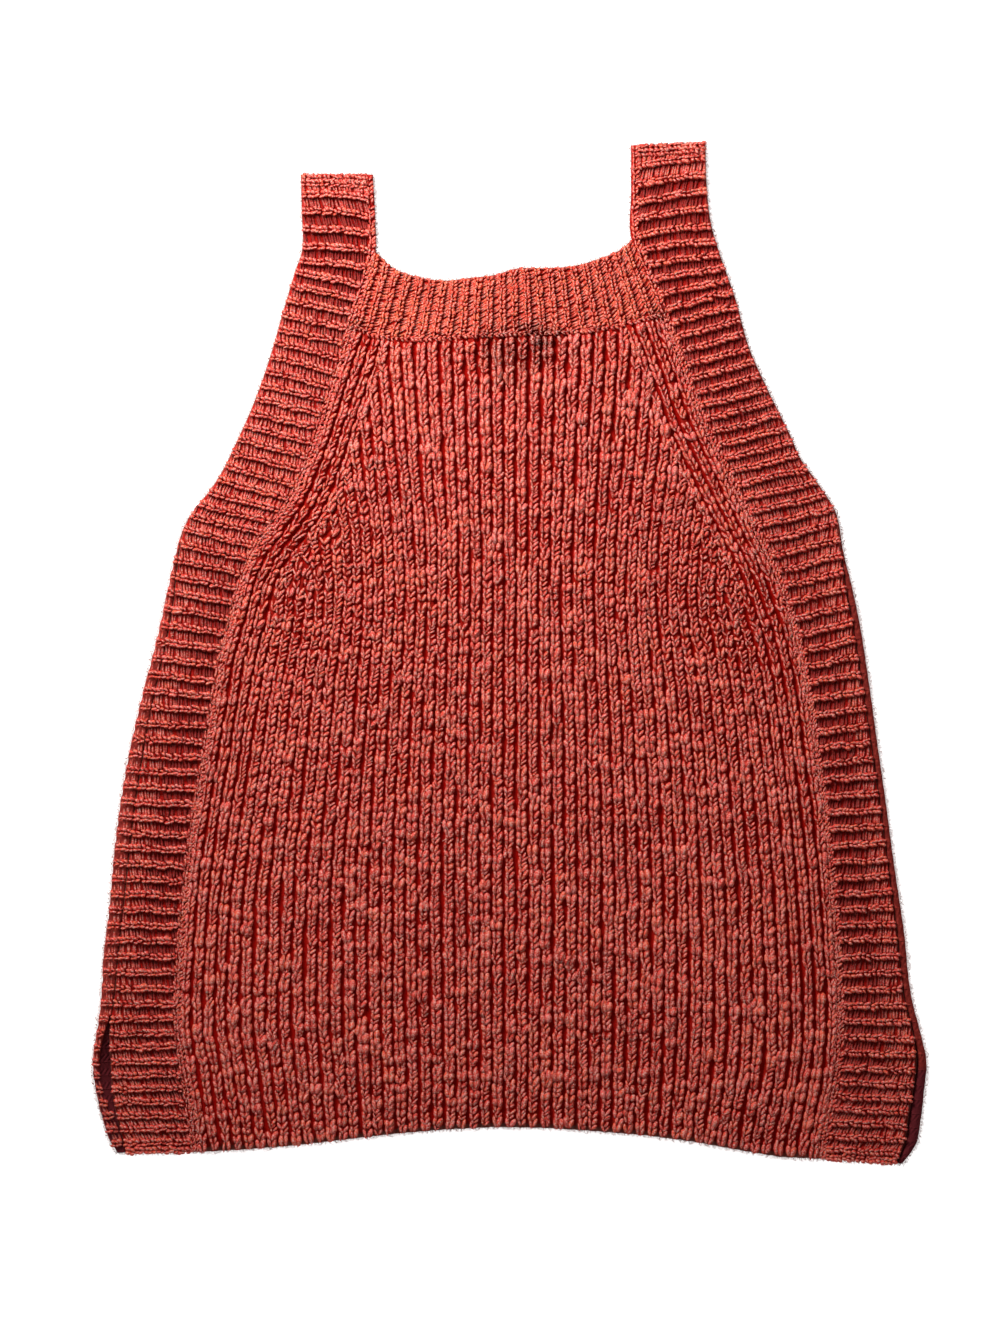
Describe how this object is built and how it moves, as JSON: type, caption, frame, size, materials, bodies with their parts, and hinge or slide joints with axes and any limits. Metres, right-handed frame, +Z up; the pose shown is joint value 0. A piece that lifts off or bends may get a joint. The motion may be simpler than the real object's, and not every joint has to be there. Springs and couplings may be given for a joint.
{
  "type": "sleeveless knitted vest",
  "caption": "Chunky ribbed cotton knit vest with a scooped neckband, wide strap bands that run down the sides and slits at the hem, laid flat.",
  "frame": {"origin": "under the middle of the garment's box, on the surface it lies on", "axes": "+X to the right of the garment as seen from above with the straps away from the viewer, +Y from the hem towards the straps, +Z up through the two layers, out of the front"},
  "size_m": [0.4999, 0.6113, 0.0067],
  "materials": {
    "panel_knit": "matte coral red cotton, chunky rib columns of slubby yarn",
    "band_knit": "matte coral red cotton, firm rib running across the band",
    "neckband_knit": "matte coral cotton with an orange cast, fine rib running up and down"
  },
  "bodies": {
    "root": {"front_panel": "panel_knit", "front_neckband": "neckband_knit", "front_band_left": "band_knit", "front_band_right": "band_knit", "back_panel": "panel_knit", "back_neckband": "neckband_knit", "back_band_left": "band_knit", "back_band_right": "band_knit"}
  },
  "joints": []
}
